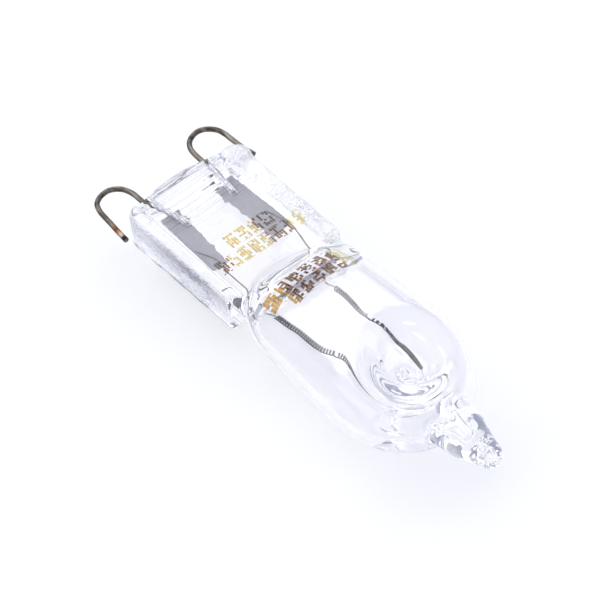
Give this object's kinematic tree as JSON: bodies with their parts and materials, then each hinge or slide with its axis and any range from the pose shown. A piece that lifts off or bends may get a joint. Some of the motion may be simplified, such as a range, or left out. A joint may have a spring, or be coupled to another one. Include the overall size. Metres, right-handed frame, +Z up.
{
  "type": "halogen capsule bulb",
  "caption": "Clear quartz capsule bulb with a flat pinch, looped wire pins, sealed foils and a coiled filament held round a glass post.",
  "frame": {"origin": "middle of the bulb's footprint on the surface that it lies on", "axes": "+X from the pins towards the exhaust tip, +Y across the pinch, +Z up, with the wide face of the pinch upwards"},
  "size_m": [0.0436, 0.013, 0.0118],
  "materials": {
    "quartz_glass": "clear blown quartz glass with pressed, slightly pebbled pinch sides",
    "pin_wire": "drawn grey wire with a faint brown heat tint near the cut ends",
    "seal_foil": "dull grey-lavender foil sealed in the glass",
    "inner_wire": "thin dark drawn wire",
    "filament_wire": "finely coiled dark grey tungsten wire"
  },
  "bodies": {
    "root": {"glass_envelope": "quartz_glass", "pin_left": "pin_wire", "pin_right": "pin_wire", "foil_left": "seal_foil", "foil_right": "seal_foil", "inner_lead_left": "inner_wire", "inner_lead_right": "inner_wire", "filament": "filament_wire"}
  },
  "joints": []
}
